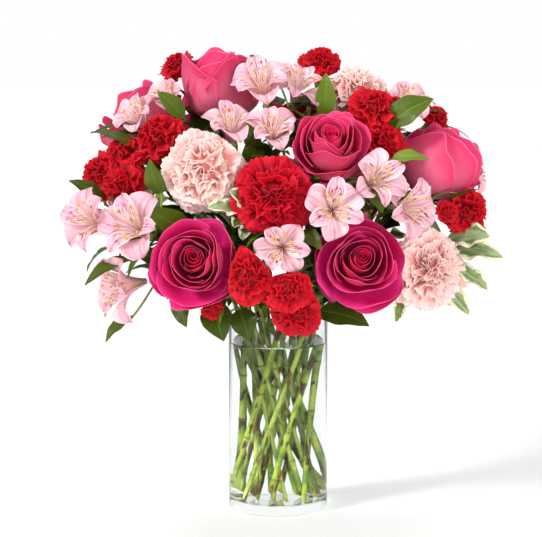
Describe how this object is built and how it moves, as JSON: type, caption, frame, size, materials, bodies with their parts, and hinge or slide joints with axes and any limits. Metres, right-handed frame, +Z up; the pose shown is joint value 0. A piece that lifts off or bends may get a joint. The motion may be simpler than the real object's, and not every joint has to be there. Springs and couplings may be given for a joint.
{
  "type": "bouquet of carnations and roses in a glass vase",
  "caption": "Mixed bouquet of roses, carnations, spray carnations, Peruvian lilies and variegated greenery, standing in water in a clear glass cylinder vase.",
  "frame": {"origin": "middle of the underside of the vase's foot", "axes": "+Z up along the vase's axis, -Y towards the viewer of the picture, +X to the viewer's right"},
  "size_m": [0.4218, 0.3364, 0.473],
  "materials": {
    "glass": "gloss",
    "water": "gloss",
    "rose": "satin",
    "carnation": "matte",
    "red_carnation": "matte",
    "mini": "matte",
    "lily": "satin",
    "stem": "satin",
    "shrub": "satin"
  },
  "bodies": {
    "root": {"vase": "glass", "water": "water", "carnation_back_petals": "carnation", "carnation_front_petals": "red_carnation", "carnation_left_petals": "carnation", "carnation_right_petals": "carnation", "carnation_top_petals": "carnation", "lily_back_left_petals": "lily", "lily_back_right_petals": "lily", "lily_back_top_petals": "lily", "lily_far_right_petals": "lily", "lily_high_left_petals": "lily", "lily_high_right_petals": "lily", "lily_left_petals": "lily", "lily_low_left_petals": "lily", "lily_low_petals": "lily", "lily_middle_petals": "lily", "lily_right_petals": "lily", "lily_top_petals": "lily", "lily_upper_petals": "lily", "rose_back_left_petals": "rose", "rose_back_right_petals": "rose", "rose_left_petals": "rose", "rose_lower_left_petals": "rose", "rose_lower_right_petals": "rose", "rose_right_petals": "rose", "rose_top_petals": "rose", "rose_upper_petals": "rose", "spray_back_high_petals": "mini", "spray_back_petals": "mini", "spray_front_bud_petals": "mini", "spray_front_petals": "mini", "spray_left_high_petals": "mini", "spray_left_petals": "mini", "spray_right_back_petals": "mini", "spray_right_petals": "mini", "spray_right_upper_petals": "mini", "spray_top_petals": "mini", "carnation_back_stem": "stem", "carnation_front_stem": "stem", "carnation_left_stem": "stem", "carnation_right_stem": "stem", "carnation_top_stem": "stem", "lily_back_stem": "stem", "lily_front_stem": "stem", "lily_left_stem": "stem", "lily_right_stem": "stem", "rose_back_left_stem": "stem", "rose_back_right_stem": "stem", "rose_left_stem": "stem", "rose_lower_left_stem": "stem", "rose_lower_right_stem": "stem", "rose_right_stem": "stem", "rose_top_stem": "stem", "rose_upper_stem": "stem", "shrub_stem": "shrub", "spray_back_stem": "stem", "spray_front_stem": "stem", "spray_left_stem": "stem", "spray_right_stem": "stem"}
  },
  "joints": []
}
